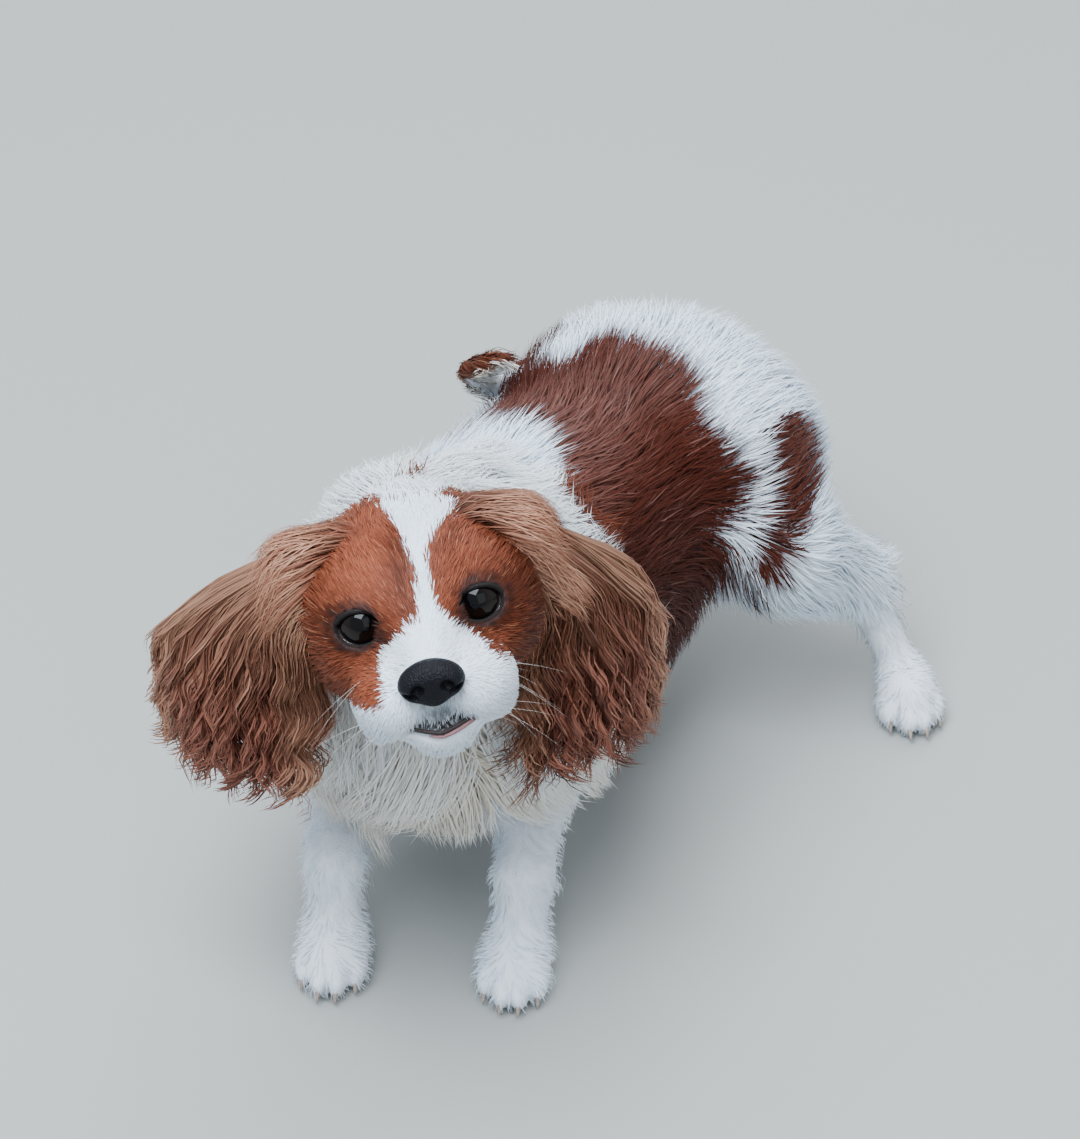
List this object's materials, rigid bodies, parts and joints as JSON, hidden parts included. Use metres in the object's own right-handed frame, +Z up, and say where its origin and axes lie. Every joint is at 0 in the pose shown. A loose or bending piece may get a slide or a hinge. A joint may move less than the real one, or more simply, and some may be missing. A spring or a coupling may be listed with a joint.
{
  "type": "cavalier king charles spaniel",
  "caption": "Life-size still model of a small long-eared spaniel, chestnut and white, crouched low on its feet with the head turned up, to stand on a floor.",
  "frame": {"origin": "centre of the bounding box on the floor that the paws stand on", "axes": "+Z up, +Y towards the tail, +X to the dog's left"},
  "size_m": [0.258, 0.4158, 0.2708],
  "materials": {
    "coat_chestnut": "long silky chestnut coat",
    "coat_white": "long silky white coat",
    "coat_ear": "long waved chestnut ear feathering",
    "eye": "wet dark brown eye",
    "nose": "moist black pebbled nose"
  },
  "bodies": {
    "root": {"eye_left": "eye", "eye_right": "eye", "nose": "nose", "head": "coat_chestnut", "ear_left": "coat_ear", "ear_right": "coat_ear", "neck": "coat_white", "leg_front_left": "coat_white", "leg_front_right": "coat_white", "leg_hind_left": "coat_white", "leg_hind_right": "coat_white", "torso": "coat_chestnut", "tail_root": "coat_chestnut", "tail_tip": "coat_white"}
  },
  "joints": []
}
